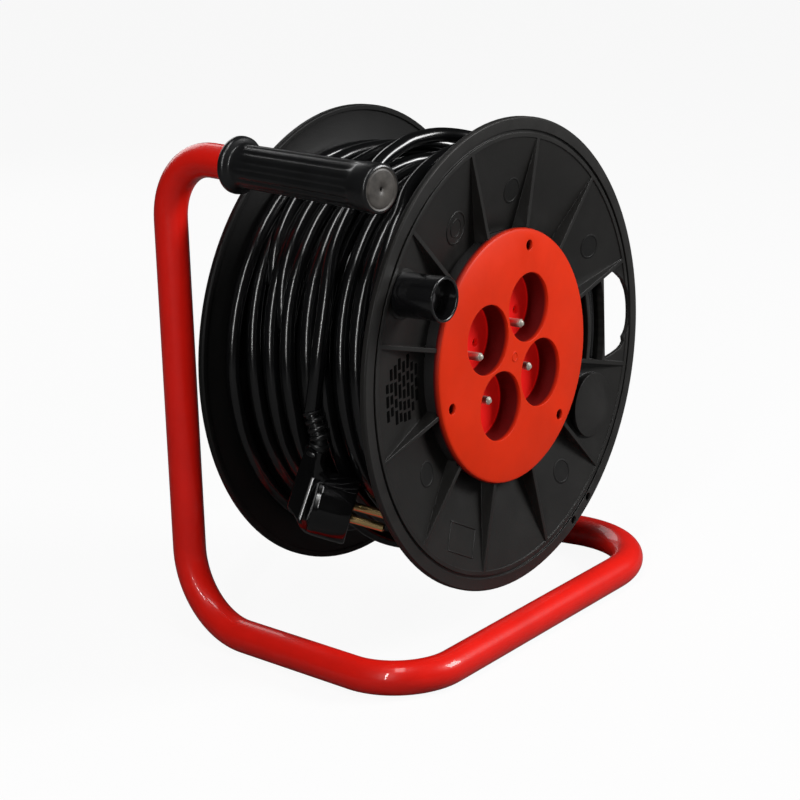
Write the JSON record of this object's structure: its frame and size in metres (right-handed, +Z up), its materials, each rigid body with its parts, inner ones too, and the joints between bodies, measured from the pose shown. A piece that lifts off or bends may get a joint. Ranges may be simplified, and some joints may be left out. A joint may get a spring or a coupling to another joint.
{
  "type": "extension cord reel",
  "caption": "Hand-wound cable drum with earthed outlets on its face, turning on a bent-tube floor stand with a side carrying handle.",
  "frame": {"origin": "floor plane, middle of the whole reel's bounding box; the drum axis is at x = -1.86 mm, z = 161.2 mm, and the drum's middle at y = -6.08 mm", "axes": "+Z up; -Y is the outlet side and lies along the drum axis; +X to the right as seen from the outlet side"},
  "size_m": [0.2962, 0.1898, 0.2974],
  "materials": {
    "red_powder_coat": "gloss powder coat",
    "grip_rubber": "satin",
    "zinc_steel": "zinc plated",
    "flange_plastic": "satin, finely textured",
    "barrel_plastic": "satin",
    "outlet_plastic": "satin gloss",
    "carrier_plastic": "matt",
    "bush_acetal": "smooth",
    "contact_brass": "bright",
    "nickel_pin": "nickel plated",
    "cutout_case": "matt",
    "cable_pvc": "glossy PVC",
    "plug_plastic": "satin gloss",
    "knob_plastic": "glossy",
    "wire_live": "smooth",
    "wire_neutral": "smooth",
    "wire_earth": "smooth"
  },
  "bodies": {
    "frame": {"frame_tube": "red_powder_coat", "axle_boss": "red_powder_coat", "boss_gusset": "red_powder_coat", "handle_grip": "grip_rubber", "axle_spindle": "zinc_steel", "axle_spacer": "zinc_steel", "rear_thrust_washer": "zinc_steel", "front_thrust_washer": "zinc_steel", "axle_nut": "zinc_steel", "nut_washer": "zinc_steel"},
    "drum": {"tie_screws": "zinc_steel", "plate_screws": "zinc_steel", "carrier_screws": "zinc_steel", "clamp_screws": "zinc_steel", "knob_washer": "zinc_steel", "knob_screw": "zinc_steel", "front_flange": "flange_plastic", "rear_flange": "flange_plastic", "drum_barrel": "barrel_plastic", "socket_plate": "outlet_plastic", "contact_carrier": "carrier_plastic", "cable_clamp": "carrier_plastic", "rear_hub_bush": "bush_acetal", "front_hub_bush": "bush_acetal", "live_contacts": "contact_brass", "neutral_contacts": "contact_brass", "live_busbar": "contact_brass", "neutral_busbar": "contact_brass", "earth_busbar": "contact_brass", "plug_pins": "contact_brass", "plug_earth_socket": "contact_brass", "earth_pins": "nickel_pin", "thermal_cutout": "cutout_case", "cable_coil": "cable_pvc", "cable_free_end": "cable_pvc", "inner_lead": "cable_pvc", "plug_body": "plug_plastic", "knob_spigot": "knob_plastic", "live_wire": "wire_live", "neutral_wire": "wire_neutral", "earth_wire": "wire_earth"},
    "knob": {"winding_knob": "knob_plastic"}
  },
  "joints": [
    {"name": "drum_spin", "type": "hinge", "parent": "frame", "child": "drum", "pos_m": [-0.00186, -0.00608, 0.1612], "axis": [0, -1, 0], "continuous": true},
    {"name": "knob_spin", "type": "hinge", "parent": "drum", "child": "knob", "pos_m": [-0.09847, -0.00608, 0.21586], "axis": [0, -1, 0], "continuous": true}
  ]
}
